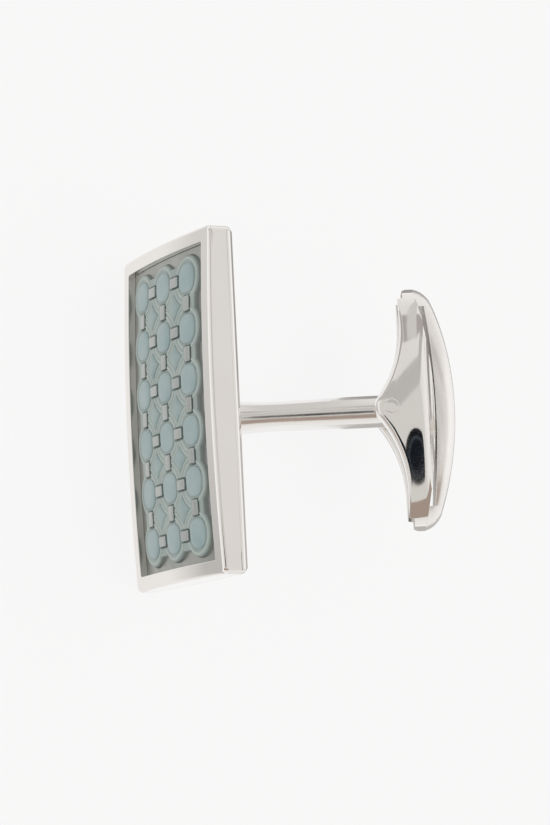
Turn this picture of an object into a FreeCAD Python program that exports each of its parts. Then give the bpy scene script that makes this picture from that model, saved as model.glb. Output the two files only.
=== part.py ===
import FreeCAD, Part
import math
import os

V = FreeCAD.Vector

# A cufflink with an enamelled rectangular face, a round post and a swivelling toggle.
# X runs along the face's long side, Y from the face to the toggle, Z up across the face.
# The origin lies at the middle of the face's back. Sizes are in millimetres, and the lean is in degrees.

# Face
face_length = 20.0
face_width = 11.7
face_depth = 2.28
drop_along = 0.30
drop_across = 0.37
corner_radius = 0.4
front_bevel = 0.16
border_long = 0.87
border_short = 0.87
back_depth = 0.5
back_bevel = 0.3
inlay_clearance = 0.02

# Enamel panel: depths are measured below the crowned front of the frame
rows = 6
columns = 3
row_margin = 0.26
column_margin = 0.52
roundel_share = 0.295
roundel_top_share = 0.24
lozenge_reach_share = 0.265
lozenge_waist_share = 0.166
lozenge_dome = 4.0
bar_end_gap = 0.17
bar_width = 0.60
scallop_share = 0.48
scallop_fill_share = 0.32
bar_groove = 0.10
depth_ground = 0.48
depth_field = 0.33
depth_roundel = 0.18
depth_lozenge = 0.19
depth_bar = 0.15

# Post: it leans in the plane of Y and Z, from a root that is set below the middle of the face
post_length = 12.95
post_lean = 28.0
root_drop = 3.2
spigot_radius = 0.80
root_radius = 1.80
waist_radius = 0.89
neck_radius = 0.95
flare_length = 6.0
pin_radius = 0.45
pin_running_clearance = 0.03
pin_press_clearance = 0.005
pin_head_height = 0.05

# Toggle: its own depths are measured from the pin's axis
toggle_length = 14.8
toggle_width = 5.2
knuckle_radius = 1.02
cheek_half_width = 2.0
cheek_clearance = 0.05
wing_front = 0.72
sweep_radius = 7.5
tip_rounding = 0.6
tip_trim = 0.05
flank_start = 0.2
flank_turn = 1.75
flank_spread = 0.022
flank_hollow = 0.0345
flare_hollow = 0.18
rim_overrun = 0.15
side_bulge_per_length = 1.8
rim_middle = 2.5
rim_end = 1.64
plate_front = 2.56
plate_front_end = 2.10
plate_back = 3.72
plate_end_thickness = 0.24
plate_bevel_share = 0.8
end_block_length = 1.3
spring_thickness = 0.16
spring_length = 4.6
spring_gap = 0.08
spring_side_clearance = 0.06
spring_end_clearance = 0.03
pocket_length = 3.6
pocket_depth = 0.35

# Sizes that follow from the ones above
crown_along = (face_length ** 2 / 4 + drop_along ** 2) / (2 * drop_along)
crown_across = (face_width ** 2 / 4 + drop_across ** 2) / (2 * drop_across)
opening_length = face_length - 2 * border_short
opening_width = face_width - 2 * border_long
row_pitch = (opening_length - 2 * row_margin) / rows
column_pitch = (opening_width - 2 * column_margin) / columns
cell = min(row_pitch, column_pitch)
roundel_radius = roundel_share * cell
lozenge_reach = lozenge_reach_share * cell
lozenge_waist = lozenge_waist_share * cell
scallop_radius = scallop_share * cell
scallop_fill = scallop_fill_share * cell
slot_half_width = neck_radius + cheek_clearance
side_bulge = side_bulge_per_length * toggle_length
rim_half_width = toggle_width / 2 + rim_overrun
plate_back_end = plate_front_end + plate_end_thickness
plate_bevel = plate_bevel_share * plate_end_thickness
spring_front = neck_radius + spring_gap


def row_place(row):
    return (row - (rows - 1) / 2) * row_pitch


def column_place(column):
    return (column - (columns - 1) / 2) * column_pitch


ROUNDELS = [(r, c, row_place(r), column_place(c)) for r in range(rows) for c in range(columns)]
LOZENGES = [
    (r, c, row_place(r + 0.5), column_place(c + 0.5)) for r in range(rows - 1) for c in range(columns - 1)
]
BARS_ACROSS = [(row_place(r), column_place(c + 0.5)) for r in range(rows) for c in range(columns - 1)]
BARS_UPRIGHT = [(row_place(r + 0.5), column_place(c)) for r in range(rows - 1) for c in range(columns)]


def line(a, b):
    return Part.LineSegment(a, b).toShape()


def arc(a, middle, b):
    return Part.Arc(a, middle, b).toShape()


def solid_along_y(wire, y_from, y_to):
    face = Part.Face(wire)
    face.translate(V(0, y_from, 0))
    return face.extrude(V(0, y_to - y_from, 0))


def block(x_from, x_to, y_from, y_to, z_from, z_to):
    return Part.makeBox(x_to - x_from, y_to - y_from, z_to - z_from, V(x_from, y_from, z_from))


def rod_along_y(radius, x, z, y_from, y_to):
    return Part.makeCylinder(radius, y_to - y_from, V(x, y_from, z), V(0, 1, 0))


def rod_along_z(radius, x, y, z_from, z_to):
    return Part.makeCylinder(radius, z_to - z_from, V(x, y, z_from), V(0, 0, 1))


def rectangle_wire(length, width, radius):
    x, z = length / 2, width / 2
    cut = radius * (1 - math.sqrt(0.5))
    edges = []
    for sx, sz in ((1, 1), (-1, 1), (-1, -1), (1, -1)):
        on_side = V(sx * x, 0, sz * (z - radius))
        on_end = V(sx * (x - radius), 0, sz * z)
        corner = V(sx * (x - cut), 0, sz * (z - cut))
        if sx * sz > 0:
            edges += [arc(on_side, corner, on_end), line(on_end, V(-sx * (x - radius), 0, sz * z))]
        else:
            edges += [arc(on_end, corner, on_side), line(on_side, V(sx * x, 0, -sz * (z - radius)))]
    return Part.Wire(edges)


def lozenge_wire():
    waist = lozenge_waist * math.sqrt(0.5)
    turns = [(1, 0), (0, 1), (-1, 0), (0, -1)]
    tips = [V(lozenge_reach * x, 0, lozenge_reach * z) for x, z in turns]
    waists = [V(waist * x, 0, waist * z) for x, z in ((1, 1), (-1, 1), (-1, -1), (1, -1))]
    return Part.Wire([arc(tips[i], waists[i], tips[(i + 1) % 4]) for i in range(4)])


def turned(outline, point, direction):
    """A full turn of an outline, begun on the far side so that its seam lies clear of the piece."""
    face = Part.Face(Part.Wire(outline))
    face.rotate(point, direction, 180)
    return face.revolve(point, direction, 360)


def across_point(z, depth):
    return crown_across - face_depth - math.sqrt((crown_across - depth) ** 2 - z ** 2)


def crown_point(x, z, depth):
    axis = crown_along - face_depth
    return axis - math.sqrt((axis - across_point(z, depth)) ** 2 - x ** 2)


def crown(depth):
    """All that lies behind the face's front, which is crowned along and across, sunk by a depth."""
    axis = crown_along - face_depth
    side = across_point(face_width, depth)
    low, high = V(0, side, -face_width), V(0, side, face_width)
    axis_low, axis_high = V(0, axis, -face_width), V(0, axis, face_width)
    outline = [
        arc(low, V(0, depth - face_depth, 0), high), line(high, axis_high),
        line(axis_high, axis_low), line(axis_low, low),
    ]
    return turned(outline, V(0, axis, 0), V(0, 0, 1))


def layer(shape, depth_top, depth_bottom):
    return shape.common(crown(depth_top)).cut(crown(depth_bottom))


def set_on_field(shape, x, z):
    """Moves a piece made at the middle of the field to its place on the crowned surface."""
    axis = crown_along - face_depth
    tilt = math.asin(z / (crown_across - depth_field))
    turn = math.asin(x / (axis - across_point(z, depth_field)))
    shape.rotate(V(0, crown_across - face_depth, 0), V(1, 0, 0), -math.degrees(tilt))
    shape.rotate(V(0, axis, 0), V(0, 0, 1), math.degrees(turn))
    return shape


def front_edges(solid):
    corner = crown_point(face_length / 2, face_width / 2, 0)
    return [e for e in solid.Edges if e.BoundBox.YMax < corner + 0.01]


def back_edges(solid, y):
    return [e for e in solid.Edges if e.BoundBox.YMin > y - 0.01]


def bezel_frame():
    outer = rectangle_wire(face_length, face_width, corner_radius)
    body = solid_along_y(outer, -2 * face_depth, -back_depth).common(crown(0))
    body = body.makeChamfer(front_bevel, front_edges(body))
    opening = rectangle_wire(opening_length, opening_width, corner_radius / 4)
    return body.cut(solid_along_y(opening, -2 * face_depth, 0))


def back_plate():
    outer = rectangle_wire(face_length, face_width, corner_radius)
    plate = solid_along_y(outer, -back_depth, 0)
    plate = plate.makeChamfer(back_bevel, back_edges(plate, 0))
    return plate.cut(rod_along_y(spigot_radius + pin_press_clearance, 0, -root_drop, -face_depth, face_depth))


def ground_plate():
    length = opening_length - 2 * inlay_clearance
    width = opening_width - 2 * inlay_clearance
    blank = solid_along_y(rectangle_wire(length, width, corner_radius / 4), -face_depth, -back_depth)
    return blank.common(crown(depth_ground))


def bar_blank(x, z, along_x, grow):
    pitch = row_pitch if along_x else column_pitch
    half_length = pitch / 2 - roundel_radius - bar_end_gap
    half_x, half_z = (half_length, bar_width / 2) if along_x else (bar_width / 2, half_length)
    half_x, half_z = half_x + grow, half_z + grow
    return block(x - half_x, x + half_x, -2 * face_depth, 0, z - half_z, z + half_z)


def bar_blanks(grow):
    across = [bar_blank(x, z, False, grow) for x, z in BARS_ACROSS]
    return across + [bar_blank(x, z, True, grow) for x, z in BARS_UPRIGHT]


def panel_rod(radius, x, z):
    return rod_along_y(radius, x, z, -2 * face_depth, 0)


def enamel_field():
    half_x = row_place(rows - 1) + scallop_fill
    half_z = column_place(columns - 1) + scallop_fill
    sheet = block(-half_x, half_x, -2 * face_depth, 0, -half_z, half_z)
    sheet = sheet.fuse([panel_rod(scallop_radius, x, z) for _, _, x, z in ROUNDELS]).removeSplitter()
    return layer(sheet, depth_field, depth_ground).cut(bar_blanks(bar_groove))


def roundel(x, z):
    base = V(0, depth_field - face_depth, 0)
    height = depth_field - depth_roundel
    disc = Part.makeCone(roundel_radius, roundel_top_share * cell, height, base, V(0, -1, 0))
    return set_on_field(disc, x, z)


def lozenge(x, z):
    blank = solid_along_y(lozenge_wire(), -2 * face_depth, depth_field - face_depth)
    dome = Part.makeSphere(lozenge_dome, V(0, depth_lozenge - face_depth + lozenge_dome, 0))
    return set_on_field(blank.common(dome), x, z)


def bars(places, along_x):
    return [layer(bar_blank(x, z, along_x, 0), depth_bar, depth_ground) for x, z in places]


def swelling(radius_from, radius_to, y_from, y_to):
    """An arc that leaves the post's side at y_from and swells to radius_to at y_to."""
    swell, run = radius_to - radius_from, y_to - y_from
    bend = (swell ** 2 + run ** 2) / (2 * swell)
    half = math.asin(run / bend) / 2
    middle = V(radius_from + bend * (1 - math.cos(half)), y_from + bend * math.sin(half), 0)
    return arc(V(radius_from, y_from, 0), middle, V(radius_to, y_to, 0))


def leaned(shape):
    """Tips a shape that was drawn along Y from the root of the post, and sets it at the root's place."""
    shape.rotate(V(0, 0, 0), V(1, 0, 0), post_lean)
    shape.translate(V(0, 0, -root_drop))
    return shape


def post_rod():
    sink = 2 * root_radius * math.tan(math.radians(post_lean))
    neck = post_length - 2 * neck_radius
    outline = [
        line(V(0, -sink, 0), V(root_radius, -sink, 0)),
        line(V(root_radius, -sink, 0), V(root_radius, 0, 0)),
        swelling(waist_radius, root_radius, flare_length, 0),
        line(V(waist_radius, flare_length, 0), V(neck_radius, neck, 0)),
        line(V(neck_radius, neck, 0), V(neck_radius, post_length, 0)),
        line(V(neck_radius, post_length, 0), V(0, post_length, 0)),
        line(V(0, post_length, 0), V(0, -sink, 0)),
    ]
    return Part.Face(Part.Wire(outline)).revolve(V(0, 0, 0), V(0, 1, 0), 360)


def post_end():
    """The post's round end, which turns between the cheeks of the toggle."""
    round_end = rod_along_z(neck_radius, 0, post_length, -neck_radius, neck_radius)
    return round_end.common(rod_along_y(neck_radius, 0, 0, post_length, post_length + neck_radius))


def post():
    bore = rod_along_z(pin_radius + pin_running_clearance, 0, post_length, -face_width, face_width)
    body = leaned(post_rod().fuse(post_end()).cut(bore))
    behind_face = block(-face_width, face_width, 0, 2 * post_length, -2 * face_width, 2 * face_width)
    spigot = rod_along_y(spigot_radius, 0, -root_drop, -back_depth, spigot_radius)
    return body.common(behind_face).fuse(spigot).removeSplitter()


def saddle_side():
    """The saddle's side profile, a knuckle that sweeps out to two wings, drawn out across the toggle."""
    half = toggle_length / 2 + tip_trim
    sweep_y = wing_front - sweep_radius
    sweep_x = math.sqrt((knuckle_radius + sweep_radius) ** 2 - sweep_y ** 2)
    meet = math.atan2(sweep_y, sweep_x)
    joint = V(knuckle_radius * math.cos(meet), knuckle_radius * math.sin(meet), 0)
    sweep_from = math.atan2(joint.y - sweep_y, joint.x - sweep_x)
    sweep_half = (sweep_from + math.pi / 2) / 2
    sweep_middle = V(
        sweep_x + sweep_radius * math.cos(sweep_half), sweep_y + sweep_radius * math.sin(sweep_half), 0
    )
    bend = tip_rounding * (1 - math.sqrt(0.5))
    corner = V(half - bend, wing_front + bend, 0)

    def mirrored(point):
        return V(-point.x, point.y, 0)

    right = [
        V(half, plate_back, 0), V(half, wing_front + tip_rounding, 0), V(half - tip_rounding, wing_front, 0),
        V(sweep_x, wing_front, 0), joint,
    ]
    left = [mirrored(p) for p in right]
    edges = [
        line(right[0], right[1]), arc(right[1], corner, right[2]), line(right[2], right[3]),
        arc(right[3], sweep_middle, joint), arc(joint, V(0, -knuckle_radius, 0), left[4]),
        arc(left[4], mirrored(sweep_middle), left[3]), line(left[3], left[2]),
        arc(left[2], mirrored(corner), left[1]), line(left[1], left[0]), line(left[0], right[0]),
    ]
    face = Part.Face(Part.Wire(edges))
    face.translate(V(0, 0, -toggle_width))
    return face.extrude(V(0, 0, 2 * toggle_width))


def in_front(middle, end):
    """All that lies in front of a face that is bowed along the toggle, from its middle to its ends."""
    bow = middle - end
    radius = (toggle_length ** 2 / 4 + bow ** 2) / (2 * bow)
    return rod_along_z(radius, 0, middle - radius, -toggle_width, toggle_width)


def oval(y_from, y_to):
    outline = Part.Ellipse(V(0, 0, 0), toggle_length / 2, toggle_width / 2).toShape()
    outline.rotate(V(0, 0, 0), V(1, 0, 0), 90)
    return solid_along_y(Part.Wire([outline]), y_from, y_to)


def hollow(start, end, sag):
    """Middle of a hollow arc in an upright plane across the toggle."""
    chord = end - start
    side = V(0, chord.z, -chord.y).normalize()
    return (start + end) * 0.5 + side * sag


def side_barrel():
    """The flank that leans out from the cheek and flares to the rim, turned about an axis far below."""
    centre = cheek_half_width - side_bulge
    start = V(0, flank_start, cheek_half_width)
    turn = V(0, flank_turn, cheek_half_width + flank_spread)
    end = V(0, rim_middle, rim_half_width)
    front = -2 * knuckle_radius
    back = rim_middle + knuckle_radius
    outline = [
        line(V(0, front, centre), V(0, front, cheek_half_width)),
        line(V(0, front, cheek_half_width), start),
        arc(start, hollow(start, turn, flank_hollow), turn),
        arc(turn, hollow(turn, end, flare_hollow), end),
        line(end, V(0, back, rim_half_width)),
        line(V(0, back, rim_half_width), V(0, back, centre)),
        line(V(0, back, centre), V(0, front, centre)),
    ]
    return turned(outline, V(0, 0, centre), V(0, 1, 0))


def spring_seat():
    half_x = spring_length / 2 + spring_end_clearance
    back = spring_front + spring_thickness
    slot = block(
        -toggle_length, toggle_length, -toggle_length, spring_front, -slot_half_width, slot_half_width
    )
    recess = block(-half_x, half_x, 0, back, -slot_half_width, slot_half_width)
    pocket = block(
        -pocket_length / 2, pocket_length / 2, 0, back + pocket_depth, -slot_half_width, slot_half_width
    )
    return [slot, recess, pocket]


def toggle_saddle():
    upper = side_barrel()
    lower = upper.mirror(V(0, 0, 0), V(0, 0, 1))
    body = saddle_side().common(in_front(rim_middle, rim_end)).common(oval(-toggle_width, toggle_width))
    body = body.common(upper).common(lower)
    bore = rod_along_z(pin_radius + pin_press_clearance, 0, 0, -toggle_width, toggle_width)
    return body.cut(spring_seat() + [bore])


def toggle_back_plate():
    front_half = in_front(plate_front, plate_front_end)
    plate = oval(0, toggle_width).common(in_front(plate_back, plate_back_end)).cut(front_half)
    back = max(plate.Faces, key=lambda face: face.CenterOfMass.y)
    plate = plate.makeChamfer(plate_bevel, back.Edges)
    inner = toggle_length / 2 - end_block_length
    middle = block(-inner, inner, -toggle_width, toggle_width, -toggle_width, toggle_width)
    ends = oval(0, toggle_width).common(front_half).cut([in_front(rim_middle, rim_end), middle])
    return plate.fuse(ends).removeSplitter()


def pivot_pin():
    half = cheek_half_width + pin_head_height
    pin = rod_along_z(pin_radius, 0, 0, -half, half)
    rims = [e for e in pin.Edges if abs(abs(e.BoundBox.ZMin) - half) < 0.001 and e.BoundBox.ZLength < 0.001]
    return pin.makeChamfer(pin_head_height, rims)


def leaf_spring():
    half_z = slot_half_width - spring_side_clearance
    half_x = spring_length / 2
    return block(-half_x, half_x, spring_front, spring_front + spring_thickness, -half_z, half_z)


def on_toggle(shape):
    shape.translate(V(0, post_length, 0))
    return leaned(shape)


def all_nodes():
    nodes = {
        "bezel_frame": bezel_frame(),
        "back_plate": back_plate(),
        "ground_plate": ground_plate(),
        "enamel_field": enamel_field(),
        "bars_across": Part.makeCompound(bars(BARS_ACROSS, False)),
        "bars_upright": Part.makeCompound(bars(BARS_UPRIGHT, True)),
        "post": post(),
        "toggle_saddle": on_toggle(toggle_saddle()),
        "toggle_back_plate": on_toggle(toggle_back_plate()),
        "pivot_pin": on_toggle(pivot_pin()),
        "leaf_spring": on_toggle(leaf_spring()),
    }
    for row, column, x, z in ROUNDELS:
        nodes["roundel_%d_%d" % (row + 1, column + 1)] = roundel(x, z)
    for row, column, x, z in LOZENGES:
        nodes["lozenge_%d_%d" % (row + 1, column + 1)] = lozenge(x, z)
    return nodes


os.makedirs("parts", exist_ok=True)
for name, shape in all_nodes().items():
    shape.exportStep("parts/%s.step" % name)
    print(name, len(shape.Solids), "solids", round(shape.Volume, 3), "mm3", shape.isValid())
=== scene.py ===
import math
import bpy
import numpy as np
from mathutils import Matrix, Quaternion, Vector


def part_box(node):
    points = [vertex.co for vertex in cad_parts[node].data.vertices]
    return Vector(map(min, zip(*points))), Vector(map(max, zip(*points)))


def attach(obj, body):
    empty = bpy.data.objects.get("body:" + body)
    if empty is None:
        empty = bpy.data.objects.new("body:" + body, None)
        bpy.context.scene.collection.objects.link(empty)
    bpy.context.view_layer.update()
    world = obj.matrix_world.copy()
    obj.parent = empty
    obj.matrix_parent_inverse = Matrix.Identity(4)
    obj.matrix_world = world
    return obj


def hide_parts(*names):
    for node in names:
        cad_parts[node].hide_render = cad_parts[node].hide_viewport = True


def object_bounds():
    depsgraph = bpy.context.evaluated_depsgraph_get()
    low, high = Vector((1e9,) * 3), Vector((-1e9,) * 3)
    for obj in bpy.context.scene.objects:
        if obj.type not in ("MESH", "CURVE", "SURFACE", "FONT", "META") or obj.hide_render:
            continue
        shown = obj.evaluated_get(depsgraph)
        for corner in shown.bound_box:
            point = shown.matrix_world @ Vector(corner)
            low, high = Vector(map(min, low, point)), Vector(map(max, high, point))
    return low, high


# Looks of a cufflink with an enamelled face, a round post and a swivelling toggle.
# X runs along the face's long side, Y from the face to the toggle, Z up across the face.
# Lengths are in millimetres and are turned into metres when a mesh is made.

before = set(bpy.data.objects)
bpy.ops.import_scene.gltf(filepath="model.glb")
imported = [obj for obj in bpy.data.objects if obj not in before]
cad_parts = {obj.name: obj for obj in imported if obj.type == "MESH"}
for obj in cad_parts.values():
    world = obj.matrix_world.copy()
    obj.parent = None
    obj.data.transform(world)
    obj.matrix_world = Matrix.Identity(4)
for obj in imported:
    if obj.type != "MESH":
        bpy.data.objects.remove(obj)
cad_low, cad_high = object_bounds()
MM = 0.001
sharp_angle = math.radians(40)

# Face: its outline is that of the solids
face_low, face_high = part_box("bezel_frame")
face_length = (face_high.x - face_low.x) / MM
face_width = (face_high.z - face_low.z) / MM
face_depth = 2.28
drop_along = 0.30
drop_across = 0.37
border = 0.87
corner_radius = 0.4
least_corner = 0.1
front_rounding = 0.22
front_shoulder = 0.08
inner_rounding = 0.06
inner_shoulder = 0.04
crown_shares = (0.1, 0.35, 0.65, 0.9)
wall_overlap = 0.05
back_depth = 0.5
seam_rounding = 0.03
back_bevel = 0.3
bevel_rounding = 0.05
bevel_bulge = 0.01
back_insets = (0.9, 3.0)

# Enamel panel: depths lie below the crowned front
rows = 6
columns = 3
row_margin = 0.26
column_margin = 0.52
row_pitch = (face_length - 2 * border - 2 * row_margin) / rows
column_pitch = (face_width - 2 * border - 2 * column_margin) / columns
roundel_radius = 0.87
roundel_squareness = 2.4
lozenge_reach = 0.783
lozenge_waist = 0.49
pillow_sink = 0.03
pillow_turn = 88
pillow_fullness = 4
scallop_radius = 1.42
scallop_fill = 0.945
bar_end_gap = 0.17
bar_half_upright = row_pitch / 2 - roundel_radius - bar_end_gap
bar_half_across = column_pitch / 2 - roundel_radius - bar_end_gap
bar_half_width = 0.30
bar_corner = 0.07
bar_least_corner = 0.015
bar_foot = 0.02
bar_rounding = 0.06
bar_shoulder = 0.03
bar_crown = ((0.05, 0.005), (0.12, 0.01))
bar_moat = 0.06
moat_fade = 0.08
moat_wall = (-0.05, 0.03)
moat_depth = 0.14
ridge_radius = 1.17
ridge_half_width = 0.055
ridge_height = 0.06
edging_radius = 1.47
edging_share = 0.8
edging_fade = (-0.1, 0.05)
groove_width = 0.05
groove_depth = 0.04
field_drop = 0.3
field_slope = (-0.12, 0.05)
# Span over which the field's outer fall is painted dark: painted shade on the wall into the recess
slope_shade = (-0.11, -0.03)
field_margin = 0.06
field_grid = 0.04
depth_ground = 0.48
depth_field = 0.25
depth_roundel = 0.12
depth_lozenge = 0.13
depth_bar = 0.16

# Post, drawn along Y from its root
post_length = 12.95
post_lean = math.radians(28.0)
root_drop = 3.2
root_radius = 1.80
waist_radius = 0.89
neck_radius = 0.95
flare_length = 6.0

# Toggle: depths are measured from the pin's axis
plate_low, plate_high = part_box("toggle_back_plate")
tip_shortening = 0.12
toggle_half = (plate_high.x - plate_low.x) / 2 / MM - tip_shortening
toggle_half_width = 2.6
pin_radius = 0.45
pin_half = 2.05
pin_rounding = 0.06
pin_cap_share = 0.3
knuckle_radius = 1.02
cheek_half_width = 2.0
channel_half_width = 1.0
channel_floor = 1.03
least_cheek = 0.02
wing_front = 0.72
sweep_radius = 7.5
tip_rounding = 0.9
tip_trim = 0.05
tip_gap = 0.001
flank_start = 0.2
flank_turn = 1.75
flank_spread = 0.022
flank_hollow = 0.0345
flare_hollow = 0.18
rim_half_width = 2.75
cap_softness = 0.4
side_bulge = 26.64
rim_middle = 2.5
rim_end = 1.64
edge_rounding = 0.45
edge_share_across = 0.45
edge_share_deep = 0.4
plate_front = 2.56
plate_front_end = 2.10
plate_back = 3.72
plate_back_end = 2.34
plate_round_width = 0.8
plate_round_share = 0.95
plate_round_limit = 0.8
plate_tip_rounding = 0.9
plate_edge = 0.04
plate_edge_share = 0.2
plate_least_half = 0.004
plate_least_thick = 0.01
end_block_length = 1.3
end_block_step = 0.001

# Materials: scales are counts of noise cells in a metre, and the bump's height is in metres
streak_scale = 900.0
cloud_scale = 260.0
enamel_scale = 700.0
speckle_scale = 2500.0
bump_height = 0.00002
noise_low = 0.3
noise_high = 0.7
silver_low = (0.90, 0.885, 0.865)
silver_high = (0.95, 0.94, 0.925)
even = (1, 1, 1)

# Camera, solved from the photograph's frame of 550 by 825 pixels
camera_place = Vector((22.40, -66.32, 133.79)) * MM
camera_right = Vector((0.0490, 0.8844, 0.4643))
camera_down = Vector((0.9879, 0.0256, -0.1531))
focal_pixels = 2577.1
picture_height = 825.0

# Studio: the floor lies just below the object, and the reflectors just above the floor or round the object
floor_white = 0.939
floor_shadow = 0.1
floor_half = 2000
floor_gap = 0.02
card_gap = 0.01
card_distance = 150 * MM
plate_card_size = 0.8 * card_distance
# Dark lens that mirrors in the saddle's flank: each disc's share of the distance, its width and its colour
lens_place = camera_place - Vector((4, 0, 0)) * MM
lens_rings = (
    (1.02, 130, (0.66, 0.64, 0.61)),
    (1.01, 46, (0.008, 0.009, 0.011)),
    (1.005, 34, (0.04, 0.046, 0.055)),
    (1.0, 28, (0.006, 0.008, 0.012)),
)
# Flag beside the post: its places along the post and across it
flag_distance = 60
flag_from, flag_to = -2, 12.6
flag_foot, flag_top = -10, 110
flag_grey = (0.62, 0.605, 0.585)
# Floor before the face: its levels along X, and the places along Y from far to near
before_levels = ((-60, 0.68), (-12, 0.68), (0, 0.62), (8, 0.52), (60, 0.52))
before_depths = (-20, -9, -4.5, -1)
before_near_level = 0.86
# Lamp overhead
lamp_place = Vector((50, 50, 350)) * MM
lamp_size = 250 * MM
lamp_power = 0.35


def make_piece(name, vertices, faces, material, body, slot, nodes):
    mesh = bpy.data.meshes.new(name)
    mesh.from_pydata([Vector(v) * MM for v in vertices], [], faces)
    mesh.validate()
    mesh.update()
    mesh.shade_smooth()
    mesh.set_sharp_from_angle(angle=sharp_angle)
    mesh.materials.append(material)
    piece = bpy.data.objects.new(name, mesh)
    bpy.context.scene.collection.objects.link(piece)
    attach(piece, body)
    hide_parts(*nodes)
    return piece


def ring_stack(rings, cap_first=False, cap_last=False):
    """A skin over rings with the same count of points, closed at the ends where a cap is asked for."""
    count = len(rings[0])
    vertices = [p for ring in rings for p in ring]
    faces = []
    for level in range(len(rings) - 1):
        low, high = level * count, (level + 1) * count
        for k in range(count):
            after = (k + 1) % count
            faces.append((low + k, low + after, high + after, high + k))
    if cap_first:
        faces.append(tuple(reversed(range(count))))
    if cap_last:
        faces.append(tuple(range(len(vertices) - count, len(vertices))))
    return vertices, faces


def joined(parts):
    vertices, faces = [], []
    for part_vertices, part_faces in parts:
        offset = len(vertices)
        vertices += part_vertices
        faces += [tuple(i + offset for i in face) for face in part_faces]
    return vertices, faces


def quarter(steps):
    """Angles of a quarter turn in even steps."""
    return [math.radians(90 * k / steps) for k in range(steps + 1)]


# Face

crown_along = (face_length ** 2 / 4 + drop_along ** 2) / (2 * drop_along)
crown_across = (face_width ** 2 / 4 + drop_across ** 2) / (2 * drop_across)


def front(x, z, depth=0.0):
    """Place along Y of the crowned front, sunk by a depth."""
    axis = crown_along - face_depth
    across = crown_across - face_depth - math.sqrt((crown_across - depth) ** 2 - z ** 2)
    return axis - math.sqrt((axis - across) ** 2 - x ** 2)


def rounded_rectangle(half_x, half_z, radius, corner_steps=8, side_steps=20):
    corners = []
    for index, (sx, sz) in enumerate(((1, 1), (-1, 1), (-1, -1), (1, -1))):
        turn = [math.radians(90 * (index + k / corner_steps)) for k in range(corner_steps + 1)]
        middle_x, middle_z = sx * (half_x - radius), sz * (half_z - radius)
        corners.append([(middle_x + radius * math.cos(a), middle_z + radius * math.sin(a)) for a in turn])
    points = []
    for index, corner in enumerate(corners):
        points += corner
        (x0, z0), (x1, z1) = corner[-1], corners[(index + 1) % 4][0]
        steps = [k / side_steps for k in range(1, side_steps)]
        points += [(x0 + (x1 - x0) * t, z0 + (z1 - z0) * t) for t in steps]
    return points


def face_outline(inset):
    radius = max(corner_radius - inset, least_corner)
    return rounded_rectangle(face_length / 2 - inset, face_width / 2 - inset, radius)


def flat_ring(inset, y):
    return [(x, y, z) for x, z in face_outline(inset)]


def front_ring(inset, depth):
    return [(x, front(x, z, depth), z) for x, z in face_outline(inset)]


def bezel_frame():
    rings = [flat_ring(border, -back_depth), flat_ring(seam_rounding, -back_depth)]
    rings += [flat_ring(0, -back_depth - seam_rounding), flat_ring(0, -back_depth - 2 * seam_rounding)]
    rings.append(front_ring(0, front_rounding + front_shoulder))
    for a in quarter(8):
        rings.append(front_ring(front_rounding * (1 - math.cos(a)), front_rounding * (1 - math.sin(a))))
    for share in crown_shares:
        rings.append(front_ring(front_rounding + share * (border - inner_rounding - front_rounding), 0))
    for a in quarter(4):
        inset = border - inner_rounding * (1 - math.sin(a))
        rings.append(front_ring(inset, inner_rounding * (1 - math.cos(a))))
    rings.append(front_ring(border, inner_rounding + inner_shoulder))
    rings.append(front_ring(border, depth_ground + wall_overlap))
    rings.append(flat_ring(border, -back_depth))
    return ring_stack(rings)


def back_plate():
    rings = [flat_ring(seam_rounding, -back_depth), flat_ring(0, -back_depth + seam_rounding)]
    rings += [flat_ring(0, -back_bevel - bevel_rounding), flat_ring(bevel_bulge, -back_bevel)]
    rings.append(flat_ring(bevel_rounding, -back_bevel + bevel_rounding))
    rings += [flat_ring(back_bevel - bevel_rounding, -bevel_rounding), flat_ring(back_bevel, -bevel_bulge)]
    rings += [flat_ring(inset, 0) for inset in (back_bevel + bevel_rounding, *back_insets)]
    return ring_stack(rings, cap_last=True)


# Post

def leaned(part):
    """Tips points drawn along Y from the post's root and sets them at the root's place."""
    vertices, faces = part
    c, n = math.cos(post_lean), math.sin(post_lean)
    return [(x, y * c - z * n, y * n + z * c - root_drop) for x, y, z in vertices], faces


def flare(y):
    """Radius of the post where it swells in an arc from its waist to its root."""
    swell = root_radius - waist_radius
    bend = (swell ** 2 + flare_length ** 2) / (2 * swell)
    return waist_radius + bend - math.sqrt(bend ** 2 - (y - flare_length) ** 2)


def post_radius(y):
    if y < 0:
        return root_radius
    if y < flare_length:
        return flare(y)
    neck = post_length - 2 * neck_radius
    taper = waist_radius + (neck_radius - waist_radius) * (y - flare_length) / (neck - flare_length)
    return min(neck_radius, taper)


def circle(radius, y, count=128):
    turns = [2 * math.pi * k / count for k in range(count)]
    return [(radius * math.cos(a), y, radius * math.sin(a)) for a in turns]


def post():
    sink = root_radius * math.tan(post_lean)
    stations = [-sink + (flare_length + sink) * k / 24 for k in range(25)]
    stations += [flare_length + (post_length - flare_length) * k / 24 for k in range(1, 25)]
    rings = [circle(post_radius(y), y) for y in stations]
    last = rings[-1]
    for a in quarter(12)[1:]:
        reach = neck_radius * math.cos(a)
        end = post_length + neck_radius * math.sin(a)
        rings.append([(max(-reach, min(reach, x)), end, z) for x, _, z in last])
    return leaned(ring_stack(rings, cap_first=True, cap_last=True))


# Toggle

def bowed(middle, end, x):
    """Depth of a face bowed along the toggle."""
    bow = middle - end
    bend = (toggle_half ** 2 + bow ** 2) / (2 * bow)
    return middle - bend + math.sqrt(bend ** 2 - x ** 2)


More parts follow.
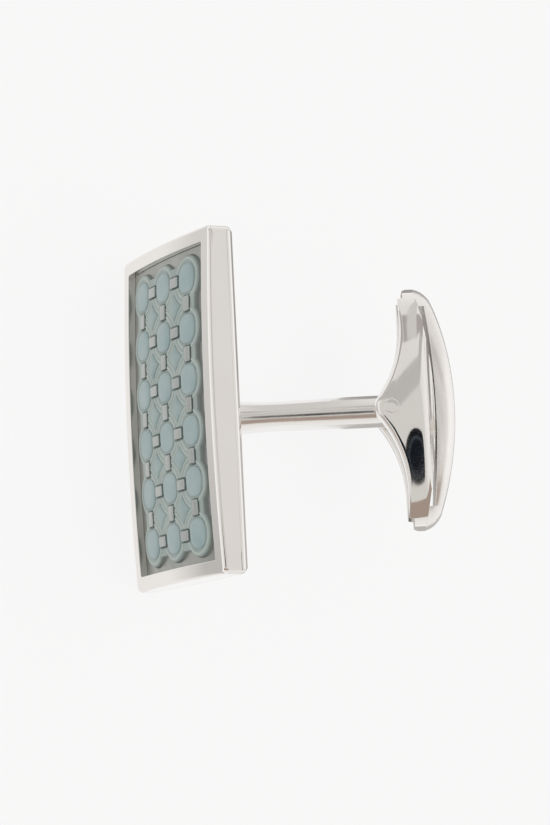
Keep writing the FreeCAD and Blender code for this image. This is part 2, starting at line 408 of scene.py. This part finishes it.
def wing_profile(x):
    """Depth of the saddle's front, seen from the side."""
    x = abs(x)
    sweep_y = wing_front - sweep_radius
    sweep_x = math.sqrt((knuckle_radius + sweep_radius) ** 2 - sweep_y ** 2)
    joint_x = knuckle_radius * sweep_x / (knuckle_radius + sweep_radius)
    tip_start = toggle_half + tip_trim - tip_rounding
    if x < joint_x:
        return -math.sqrt(knuckle_radius ** 2 - x ** 2)
    if x < sweep_x:
        return sweep_y + math.sqrt(sweep_radius ** 2 - (sweep_x - x) ** 2)
    if x < tip_start:
        return wing_front
    return wing_front + tip_rounding - math.sqrt(max(0.0, tip_rounding ** 2 - (x - tip_start) ** 2))


def oval_half(x):
    return toggle_half_width * math.sqrt(max(0.0, 1 - (x / toggle_half) ** 2))


def hollow_arc(start, end, sag):
    """Centre and radius of an arc that sags to the deeper side of its chord."""
    chord = Vector(end) - Vector(start)
    side = Vector((chord.y, -chord.x)).normalized()
    radius = (chord.length_squared / 4 + sag ** 2) / (2 * sag)
    return (Vector(start) + Vector(end)) / 2 + side * (sag - radius), radius


# Arcs of the flank, which leans out from the cheek and then flares to the rim
FLANK_TURN = (flank_turn, cheek_half_width + flank_spread)
LEAN = hollow_arc((flank_start, cheek_half_width), FLANK_TURN, flank_hollow)
FLARE = hollow_arc(FLANK_TURN, (rim_middle, rim_half_width), flare_hollow)


def flank_half(x, y):
    """Half width of the saddle's flank, as it leans out from the cheek and flares to the rim."""
    if y <= flank_start:
        middle = cheek_half_width
    else:
        centre, radius = LEAN if y < flank_turn else FLARE
        middle = centre.y - math.sqrt(max(0.0, radius ** 2 - (min(y, rim_middle) - centre.x) ** 2))
    axis = cheek_half_width - side_bulge
    return axis + math.sqrt((middle - axis) ** 2 - x ** 2)


def section_half(x, y):
    """The lesser of flank and oval, with a soft change from one to the other."""
    flank, rim = flank_half(x, y), oval_half(x)
    mixed = max(0.0, 1 - abs(flank - rim) / cap_softness)
    return max(0.0, min(flank, rim) - cap_softness * mixed ** 2 / 4)


def evenly(path, count):
    """The same path with its points spread evenly along it."""
    path = np.array(path)
    run = np.concatenate([[0], np.cumsum(np.hypot(*np.diff(path, axis=0).T))])
    at = np.linspace(0, run[-1], count)
    return list(zip(np.interp(at, run, path[:, 0]).tolist(), np.interp(at, run, path[:, 1]).tolist()))


def curve_through(start, tip, end, steps):
    """A short rounding from start to end that heads for tip at both ends."""
    points = []
    for k in range(steps + 1):
        t = k / steps
        shares = ((1 - t) ** 2, 2 * t * (1 - t), t ** 2)
        points.append(tuple(sum(s * v for s, v in zip(shares, values)) for values in zip(start, tip, end)))
    return points


def saddle_section(x):
    """Half of a slice across the saddle, as (depth, height), from the back's middle to the channel's."""
    back, crest = bowed(rim_middle, rim_end, x), wing_profile(x)
    top, corner = section_half(x, back), section_half(x, crest)
    channel = min(channel_half_width, corner)
    if corner - channel < least_cheek:
        crest = max(crest, channel_floor)
    edge = min(edge_rounding, edge_share_across * (corner - channel), edge_share_deep * (back - crest))
    points = [(back, top * k / 6) for k in range(6)]
    flank_end = crest + edge
    points += evenly([(y, section_half(x, y)) for y in np.linspace(back, flank_end, 120).tolist()], 40)
    points += curve_through(points[-1], (crest, corner), (crest, corner - edge), 8)[1:]
    points += [(crest, corner - edge + (channel + edge / 2 - corner + edge) * k / 4) for k in range(1, 5)]
    points += curve_through(points[-1], (crest, channel), (crest + edge / 2, channel), 4)[1:]
    wall, floor_depth = points[-1][0], max(channel_floor, crest)
    points += [(wall + (floor_depth - wall) * k / 6, channel) for k in range(1, 7)]
    points += [(floor_depth, channel * (1 - k / 6)) for k in range(1, 7)]
    return points


def plate_section(x):
    """Half of a slice across the plate, as (depth, height), from the back's middle to the front's."""
    half = max(oval_half(x), plate_least_half)
    in_block = abs(x) > toggle_half - end_block_length
    front_depth = bowed(rim_middle, rim_end, x) if in_block else bowed(plate_front, plate_front_end, x)
    tip = max(0.0, abs(x) - toggle_half + plate_tip_rounding)
    back = bowed(plate_back, plate_back_end, x) - plate_tip_rounding
    back += math.sqrt(max(0.0, plate_tip_rounding ** 2 - tip ** 2))
    thick = max(back - front_depth, plate_least_thick)
    round_width, round_depth = min(plate_round_width, plate_round_limit * half), plate_round_share * thick
    edge = min(plate_edge, plate_edge_share * thick, plate_edge_share * half)
    points = [(front_depth + thick, (half - round_width) * k / 8) for k in range(8)]
    for a in quarter(14):
        depth = front_depth + thick - round_depth * (1 - math.cos(a))
        points.append((depth, half - round_width * (1 - math.sin(a))))
    points += [(front_depth + edge, half), (front_depth, half - edge)]
    return points + [(front_depth, (half - edge) * (1 - k / 6)) for k in range(1, 7)]


def toggle_stations():
    """Places of the slices along the toggle, closer together at the knuckle and the tips."""
    tips = [toggle_half * math.sin(math.radians(90 * k / 110)) for k in range(111)]
    fine = sorted(set(round(x, 6) for x in tips + [knuckle_radius * k / 24 for k in range(25)]))
    fine = [x for x in fine if x < toggle_half - 2 * tip_gap] + [toggle_half - tip_gap]
    return [-x for x in reversed(fine[1:])] + fine


def on_toggle(part):
    vertices, faces = part
    return leaned(([(x, y + post_length, z) for x, y, z in vertices], faces))


def sliced(section, stations):
    """A piece made of half slices along the toggle, each mirrored to its full outline."""
    rings = []
    for x in stations:
        half = section(x)
        ring = [(x, y, z) for y, z in half]
        ring += [(x, y, -z) for y, z in reversed(half[1:-1])]
        rings.append(ring)
    return on_toggle(ring_stack(rings, cap_first=True, cap_last=True))


def toggle_saddle():
    return sliced(saddle_section, toggle_stations())


def toggle_back_plate():
    inner = toggle_half - end_block_length
    steps = [side * (inner + nudge) for side in (-1, 1) for nudge in (-end_block_step, end_block_step)]
    return sliced(plate_section, sorted(toggle_stations() + steps))


def pivot_pin():
    profile = [(-pin_half, pin_cap_share * pin_radius)]
    for a in reversed(quarter(6)):
        radius = pin_radius - pin_rounding * (1 - math.cos(a))
        profile.append((-pin_half + pin_rounding * (1 - math.sin(a)), radius))
    profile += [(-z, radius) for z, radius in reversed(profile)]
    rings = []
    for z, radius in profile:
        rings.append([(x, y, z) for x, _, y in circle(radius, 0, 64)])
    return on_toggle(ring_stack(rings, cap_first=True, cap_last=True))


# Enamel panel

def lattice(count, pitch):
    return [(k - (count - 1) / 2) * pitch for k in range(count)]


ROW_X = lattice(rows, row_pitch)
COLUMN_Z = lattice(columns, column_pitch)
BETWEEN_X = lattice(rows - 1, row_pitch)
BETWEEN_Z = lattice(columns - 1, column_pitch)
ROUNDELS = [(x, z) for x in ROW_X for z in COLUMN_Z]
BARS_ACROSS = [(x, z, bar_half_width, bar_half_across) for x in ROW_X for z in BETWEEN_Z]
BARS_UPRIGHT = [(x, z, bar_half_upright, bar_half_width) for x in BETWEEN_X for z in COLUMN_Z]


def box_distance(x, z, half_x, half_z):
    dx, dz = np.abs(x) - half_x, np.abs(z) - half_z
    return np.hypot(np.maximum(dx, 0), np.maximum(dz, 0)) + np.minimum(np.maximum(dx, dz), 0)


def smooth_step(value, low, high):
    t = np.clip((value - low) / (high - low), 0, 1)
    return t * t * (3 - 2 * t)


def hump(distance, half_width):
    """A smooth rise to 1 where the distance is nothing."""
    return np.exp(-(distance / half_width) ** 2)


def field_relief(x, z):
    """Depth of the enamel field below the front, how far each point is on a ridge, and the share of painted
    shade on the field's outer fall into the recess.
    """
    bars = BARS_ACROSS + BARS_UPRIGHT
    to_roundel = np.min([np.hypot(x - a, z - b) for a, b in ROUNDELS], axis=0)
    to_bar = np.min([box_distance(x - a, z - b, p, q) for a, b, p, q in bars], axis=0)
    to_sheet = box_distance(x, z, ROW_X[-1] + scallop_fill, COLUMN_Z[-1] + scallop_fill)
    outside = np.minimum(to_roundel - scallop_radius, to_sheet)
    inside_lattice = 1 - smooth_step(box_distance(x, z, ROW_X[-1], COLUMN_Z[-1]), *edging_fade)
    ring = hump(to_roundel - ridge_radius, ridge_half_width)
    edging = hump(to_roundel - edging_radius, ridge_half_width) * inside_lattice
    clear = smooth_step(to_bar, bar_moat, bar_moat + moat_fade)
    ridge = np.maximum(ring, edging_share * edging) * clear
    groove = hump(to_roundel - roundel_radius - groove_width, groove_width)
    depth = depth_field - ridge_height * ridge + groove_depth * groove
    depth = depth + moat_depth * smooth_step(bar_moat - to_bar, *moat_wall)
    depth = depth + field_drop * smooth_step(outside, *field_slope)
    return depth, ridge, smooth_step(outside, *slope_shade)


def enamel_field(material):
    half_x = ROW_X[-1] + scallop_radius + field_margin
    half_z = COLUMN_Z[-1] + scallop_radius + field_margin
    steps_x, steps_z = round(2 * half_x / field_grid), round(2 * half_z / field_grid)
    x, z = np.meshgrid(np.linspace(-half_x, half_x, steps_x), np.linspace(-half_z, half_z, steps_z))
    x, z = x.ravel(), z.ravel()
    depth, ridge, slope_painted_shade = field_relief(x, z)
    vertices = [(a, front(a, b, d), b) for a, b, d in zip(x.tolist(), z.tolist(), depth.tolist())]
    faces = []
    for j in range(steps_z - 1):
        for i in range(steps_x - 1):
            k = j * steps_x + i
            faces.append((k, k + 1, k + steps_x + 1, k + steps_x))
    piece = make_piece("field", vertices, faces, material, "face", "field_enamel", ["enamel_field"])
    # The second share carries painted shade on the field's outer fall into the recess
    for name, share in (("ridge", ridge), ("slope_painted_shade", slope_painted_shade)):
        piece.data.attributes.new(name, "FLOAT", "POINT").data.foreach_set("value", share)


def pillow(x, z, reach_at, depth_top, segments=48, levels=12):
    """A low cushion on the field: its outline is a distance for each direction."""
    depth_foot = depth_field + pillow_sink
    rings = []
    for level in range(levels):
        share = math.cos(math.radians(pillow_turn * level / (levels - 1)))
        rise = (1 - share ** pillow_fullness) ** 0.5
        depth = depth_foot + (depth_top - depth_foot) * rise
        ring = []
        for k in range(segments):
            a = 2 * math.pi * k / segments
            px, pz = x + share * reach_at(a) * math.cos(a), z + share * reach_at(a) * math.sin(a)
            ring.append((px, front(px, pz, depth), pz))
        rings.append(ring)
    return ring_stack(rings, cap_last=True)


def roundel_reach_at(angle):
    """Distance from a roundel's middle to its edge, which is a little squarer than a circle."""
    across, along = abs(math.cos(angle)), abs(math.sin(angle))
    power = roundel_squareness
    return roundel_radius / (across ** power + along ** power) ** (1 / power)


def lozenge_reach_at(angle):
    """Distance from a lozenge's middle to its hollow side in one direction."""
    offset = (lozenge_reach ** 2 - lozenge_waist ** 2) / (math.sqrt(2) * lozenge_reach - 2 * lozenge_waist)
    turn = (angle % (math.pi / 2)) - math.pi / 4
    along = offset * math.cos(turn)
    return along - math.sqrt((offset - lozenge_waist) ** 2 - offset ** 2 + along ** 2)


def bar(x, z, half_x, half_z):
    def ring(inset, depth):
        corner = max(bar_corner - inset, bar_least_corner)
        outline = rounded_rectangle(half_x - inset, half_z - inset, corner, 4, 4)
        return [(x + px, front(x + px, z + pz, depth), z + pz) for px, pz in outline]

    rings = [ring(0, depth_ground + bar_foot), ring(0, depth_bar + bar_rounding + bar_shoulder)]
    for a in quarter(5):
        rings.append(ring(bar_rounding * (1 - math.cos(a)), depth_bar + bar_rounding * (1 - math.sin(a))))
    rings += [ring(bar_rounding + inset, depth_bar - rise) for inset, rise in bar_crown]
    return ring_stack(rings, cap_last=True)


# Materials

def new_material(name):
    material = bpy.data.materials.new(name)
    material.use_nodes = True
    nodes = material.node_tree.nodes
    return material, nodes, material.node_tree.links, nodes["Principled BSDF"]


def grain(nodes, links, stretch, scale, detail=4.0):
    """Noise over the piece's own space, drawn out along the axes with the smaller stretch."""
    place = nodes.new("ShaderNodeTexCoord")
    mapping = nodes.new("ShaderNodeMapping")
    mapping.inputs["Scale"].default_value = stretch
    noise = nodes.new("ShaderNodeTexNoise")
    noise.inputs["Scale"].default_value = scale
    noise.inputs["Detail"].default_value = detail
    links.new(place.outputs["Object"], mapping.inputs["Vector"])
    links.new(mapping.outputs["Vector"], noise.inputs["Vector"])
    return noise.outputs["Fac"]


def spread(nodes, links, value, low, high):
    """The middle range of a noise, spread from low to high."""
    remap = nodes.new("ShaderNodeMapRange")
    remap.inputs["From Min"].default_value = noise_low
    remap.inputs["From Max"].default_value = noise_high
    remap.inputs["To Min"].default_value = low
    remap.inputs["To Max"].default_value = high
    links.new(value, remap.inputs["Value"])
    return remap.outputs["Result"]


def colour_mix(nodes, links, share):
    mix = nodes.new("ShaderNodeMix")
    mix.data_type = "RGBA"
    links.new(share, mix.inputs["Factor"])
    return mix


def tint(nodes, links, share, low, high):
    mix = colour_mix(nodes, links, share)
    mix.inputs["A"].default_value = (*low, 1)
    mix.inputs["B"].default_value = (*high, 1)
    return mix.outputs["Result"]


def overlay(nodes, links, colour, place, over):
    """Lays a second colour over the first where the mesh says so."""
    share = nodes.new("ShaderNodeAttribute")
    share.attribute_name = place
    mix = colour_mix(nodes, links, share.outputs["Fac"])
    links.new(colour, mix.inputs["A"])
    mix.inputs["B"].default_value = (*over, 1)
    return mix.outputs["Result"]


def relief(nodes, links, value, strength):
    bump = nodes.new("ShaderNodeBump")
    bump.inputs["Strength"].default_value = strength
    bump.inputs["Distance"].default_value = bump_height
    links.new(value, bump.inputs["Height"])
    return bump.outputs["Normal"]


def metal(name, low, high, rough_low, rough_high, stretch, bump):
    material, nodes, links, shader = new_material(name)
    streaks = grain(nodes, links, stretch, streak_scale)
    clouds = grain(nodes, links, even, cloud_scale, 2.0)
    links.new(tint(nodes, links, clouds, low, high), shader.inputs["Base Color"])
    links.new(spread(nodes, links, streaks, rough_low, rough_high), shader.inputs["Roughness"])
    links.new(relief(nodes, links, streaks, bump), shader.inputs["Normal"])
    shader.inputs["Metallic"].default_value = 1.0
    return material


def polished(name, stretch):
    return metal(name, silver_low, silver_high, 0.04, 0.09, stretch, 0.04)


def enamel(name, low, high, overlays=()):
    material, nodes, links, shader = new_material(name)
    clouds = grain(nodes, links, even, enamel_scale, 3.0)
    colour = tint(nodes, links, spread(nodes, links, clouds, 0, 1), low, high)
    for place, over in overlays:
        colour = overlay(nodes, links, colour, place, over)
    links.new(colour, shader.inputs["Base Color"])
    links.new(spread(nodes, links, clouds, 0.28, 0.42), shader.inputs["Roughness"])
    speckle = grain(nodes, links, even, speckle_scale)
    links.new(relief(nodes, links, speckle, 0.15), shader.inputs["Normal"])
    return material


# Studio

def add_stage(name, vertices, faces, material):
    mesh = bpy.data.meshes.new(name)
    mesh.from_pydata(vertices, [], faces)
    mesh.materials.append(material)
    thing = bpy.data.objects.new(name, mesh)
    bpy.context.scene.collection.objects.link(thing)
    return thing


def glow_material(name, colour):
    material = bpy.data.materials.new(name)
    material.use_nodes = True
    nodes, links = material.node_tree.nodes, material.node_tree.links
    nodes.remove(nodes["Principled BSDF"])
    glow = nodes.new("ShaderNodeEmission")
    glow.inputs["Color"].default_value = (*colour, 1)
    glow.inputs["Strength"].default_value = 1.0
    links.new(glow.outputs["Emission"], nodes["Material Output"].inputs["Surface"])
    return material, nodes, links, glow


def on_floor(places, gap):
    """Points a gap below the object's lowest point, from places along X and Y."""
    z = cad_low.z / MM - gap
    return [Vector((x, y, z)) * MM for x, y in places]


def floor():
    white = (floor_white, floor_white, floor_white)
    material, nodes, links, glow = glow_material("floor", white)
    paper = nodes.new("ShaderNodeBsdfDiffuse")
    paper.inputs["Color"].default_value = (*white, 1)
    mix = nodes.new("ShaderNodeMixShader")
    mix.inputs["Fac"].default_value = floor_shadow
    links.new(glow.outputs["Emission"], mix.inputs[1])
    links.new(paper.outputs["BSDF"], mix.inputs[2])
    links.new(mix.outputs["Shader"], nodes["Material Output"].inputs["Surface"])
    corners = [(floor_half * sx, floor_half * sy) for sx, sy in ((-1, -1), (1, -1), (1, 1), (-1, 1))]
    add_stage("floor", on_floor(corners, floor_gap), [(0, 1, 2, 3)], material)


def add_reflector(name, points, faces, material):
    """A stage piece that only polished surfaces see."""
    thing = add_stage(name, points, faces, material)
    thing.visible_camera = False
    thing.visible_diffuse = False
    thing.visible_shadow = False
    thing.visible_transmission = False
    return thing


def plain_reflector(name, points, colour):
    add_reflector(name, points, [tuple(range(len(points)))], glow_material(name, colour)[0])


def card(name, direction, distance, width, height, colour, roll=0, round_card=False):
    """A reflector that stands square on to the object."""
    direction = Vector(direction).normalized()
    side = direction.cross(Vector((1, 0, 0))).normalized()
    side.rotate(Quaternion(direction, math.radians(roll)))
    up = direction.cross(side)
    centre = direction * distance
    count = 48 if round_card else 4
    reach = 0.5 if round_card else math.sqrt(0.5)
    points = []
    for k in range(count):
        a = 2 * math.pi * (k + 0.5) / count
        points.append(centre + side * (width * reach * math.cos(a)) + up * (height * reach * math.sin(a)))
    plain_reflector(name, points, colour)


def side_card(name, turn_from, turn_to, colour, roll):
    """A card in the plane square to the post, between two angles turned towards the face's top."""
    turn = math.radians((turn_from + turn_to) / 2)
    rise = math.cos(turn)
    direction = (-math.sin(turn), -math.sin(post_lean) * rise, math.cos(post_lean) * rise)
    height = 2 * card_distance * math.tan(math.radians(turn_to - turn_from) / 2)
    card(name, direction, card_distance, 2 * card_distance, height, colour, roll)


def flag():
    """A grey reflector beside the post, on the side of the face's top, that ends short of the toggle."""
    sides = ((flag_from, flag_foot), (flag_to, flag_foot), (flag_to, flag_top), (flag_from, flag_top))
    corners = [(-flag_distance, y, z) for y, z in sides]
    plain_reflector("flag", [Vector(v) * MM for v in leaned((corners, []))[0]], flag_grey)


def floor_card(name, x_from, x_to, y_from, y_to, colour):
    """A dark reflector that lies on the floor, as painted shadow of the toggle that only polished surfaces
    see.
    """
    corners = [(x_from, y_from), (x_to, y_from), (x_to, y_to), (x_from, y_to)]
    plain_reflector(name, on_floor(corners, card_gap), colour)


def graded_floor_card(name, colour):
    """A reflector on the floor before the face, which darkens along the face and is lighter close to it."""
    places, levels = [], []
    for x, level in before_levels:
        places += [(x, y) for y in before_depths]
        levels += [level, level, before_near_level, before_near_level]
    faces = []
    for i in range(len(before_levels) - 1):
        for j in range(len(before_depths) - 1):
            k = len(before_depths) * i + j
            after = k + len(before_depths)
            faces.append((k, after, after + 1, k + 1))
    material, nodes, links, glow = glow_material(name, colour)
    level_at = nodes.new("ShaderNodeAttribute")
    level_at.attribute_name = "level"
    links.new(level_at.outputs["Fac"], glow.inputs["Strength"])
    thing = add_reflector(name, on_floor(places, card_gap), faces, material)
    thing.data.attributes.new("level", "FLOAT", "POINT").data.foreach_set("value", levels)


def add_lamp(name, place, size, power):
    data = bpy.data.lights.new(name, "AREA")
    data.shape = "DISK"
    data.size = size
    data.energy = power
    lamp = bpy.data.objects.new(name, data)
    lamp.location = place
    lamp.rotation_euler = (-place).to_track_quat("-Z", "Y").to_euler()
    lamp.visible_glossy = False
    bpy.context.scene.collection.objects.link(lamp)


def add_world():
    """Soft surroundings, brightest below and a little darker overhead."""
    world = bpy.data.worlds.new("world")
    world.use_nodes = True
    nodes, links = world.node_tree.nodes, world.node_tree.links
    place = nodes.new("ShaderNodeTexCoord")
    parts = nodes.new("ShaderNodeSeparateXYZ")
    ramp = nodes.new("ShaderNodeValToRGB")
    links.new(place.outputs["Generated"], parts.inputs["Vector"])
    links.new(parts.outputs["Z"], ramp.inputs["Fac"])
    links.new(ramp.outputs["Color"], nodes["Background"].inputs["Color"])
    stops = ramp.color_ramp.elements
    stops[0].position, stops[0].color = 0.0, (0.88, 0.87, 0.86, 1)
    stops[1].position, stops[1].color = 1.0, (0.73, 0.70, 0.68, 1)
    for position, level in ((0.35, 0.86), (0.6, 0.78), (0.85, 0.745)):
        stops.new(position).color = (level, level * 0.97, level * 0.94, 1)
    bpy.context.scene.world = world


def add_camera():
    data = bpy.data.cameras.new("camera")
    data.sensor_width = 36.0
    data.lens = focal_pixels / picture_height * data.sensor_width
    data.clip_start, data.clip_end = 0.005, 10.0
    camera = bpy.data.objects.new("camera", data)
    right = camera_right.normalized()
    up = (-camera_down - right * (-camera_down).dot(right)).normalized()
    back = right.cross(up)
    camera.matrix_world = Matrix((
        (right.x, up.x, back.x, camera_place.x),
        (right.y, up.y, back.y, camera_place.y),
        (right.z, up.z, back.z, camera_place.z),
        (0, 0, 0, 1),
    ))
    bpy.context.scene.collection.objects.link(camera)
    bpy.context.scene.camera = camera


frame_silver = polished("frame_silver", (0.15, 1, 1))
post_silver = metal("post_silver", (0.88, 0.865, 0.845), (0.94, 0.93, 0.915), 0.15, 0.23, (1, 0.12, 1), 0.35)
toggle_silver = polished("toggle_silver", even)
plate_silver = metal("plate_silver", silver_low, silver_high, 0.22, 0.30, even, 0.1)
bar_silver = metal("bar_silver", (0.40, 0.43, 0.42), (0.56, 0.595, 0.585), 0.2, 0.35, even, 0.2)
dark_silver = metal("dark_silver", (0.37, 0.385, 0.37), (0.52, 0.54, 0.52), 0.3, 0.5, even, 0.4)
spring_steel = metal("spring_steel", (0.50, 0.50, 0.51), (0.60, 0.60, 0.61), 0.22, 0.36, (0.1, 1, 1), 0.2)
# Colours laid over the field: lighter ridges, and painted shade on the outer fall into the recess
field_overlays = (("ridge", (0.48, 0.55, 0.52)), ("slope_painted_shade", (0.20, 0.23, 0.22)))
field_enamel = enamel("field_enamel", (0.28, 0.345, 0.33), (0.35, 0.41, 0.39), field_overlays)
roundel_enamel = enamel("roundel_enamel", (0.29, 0.39, 0.40), (0.37, 0.46, 0.465))
lozenge_enamel = enamel("lozenge_enamel", (0.265, 0.36, 0.36), (0.34, 0.435, 0.425))

make_piece("frame_rim", *bezel_frame(), frame_silver, "face", "polished_silver", ["bezel_frame"])
make_piece("frame_back", *back_plate(), frame_silver, "face", "polished_silver", ["back_plate"])
make_piece("round_post", *post(), post_silver, "face", "polished_silver", ["post"])
make_piece("saddle", *toggle_saddle(), toggle_silver, "toggle", "polished_silver", ["toggle_saddle"])
plate = toggle_back_plate()
make_piece("oval_plate", *plate, plate_silver, "toggle", "polished_silver", ["toggle_back_plate"])
make_piece("pin", *pivot_pin(), toggle_silver, "toggle", "polished_silver", ["pivot_pin"])
enamel_field(field_enamel)
for row, x in enumerate(ROW_X):
    for column, z in enumerate(COLUMN_Z):
        spot = f"_{row + 1}_{column + 1}"
        disc = pillow(x, z, roundel_reach_at, depth_roundel)
        make_piece("disc" + spot, *disc, roundel_enamel, "face", "roundel_enamel", ["roundel" + spot])
for row, x in enumerate(BETWEEN_X):
    for column, z in enumerate(BETWEEN_Z):
        spot = f"_{row + 1}_{column + 1}"
        diamond = pillow(x, z, lozenge_reach_at, depth_lozenge)
        make_piece("diamond" + spot, *diamond, lozenge_enamel, "face", "lozenge_enamel", ["lozenge" + spot])
across = joined([bar(*place) for place in BARS_ACROSS])
upright = joined([bar(*place) for place in BARS_UPRIGHT])
make_piece("short_bars", *across, bar_silver, "face", "polished_silver", ["bars_across"])
make_piece("long_bars", *upright, bar_silver, "face", "polished_silver", ["bars_upright"])
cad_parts["ground_plate"].data.materials[0] = dark_silver
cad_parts["leaf_spring"].data.materials[0] = spring_steel

floor()
for share, width, colour in lens_rings:
    distance = lens_place.length * share
    card(f"lens_{width}", lens_place, distance, width * MM, width * MM, colour, round_card=True)
side_card("upper_grey", 14, 22, (0.50, 0.485, 0.47), -23)
flag()
# Painted shadow: dark sheets on the floor under and behind the toggle, seen only in reflections
floor_card("painted_toggle_shadow_upper", -60, -5, 13, 45, (0.36, 0.34, 0.325))
floor_card("painted_toggle_shadow_lower", -5, 60, 13, 45, (0.50, 0.48, 0.465))
graded_floor_card("before", (1.0, 0.975, 0.955))
side_card("upper_brown", 29, 40, (0.42, 0.39, 0.365), -10)
card("plate_white", (0, 0.82, 0.57), card_distance, plate_card_size, plate_card_size, (0.97, 0.95, 0.94))
side_card("lower_brown", -52, -24, (0.37, 0.29, 0.245), -10)
add_lamp("overhead", lamp_place, lamp_size, lamp_power)
add_world()
add_camera()
bpy.context.scene.view_settings.view_transform = "Standard"
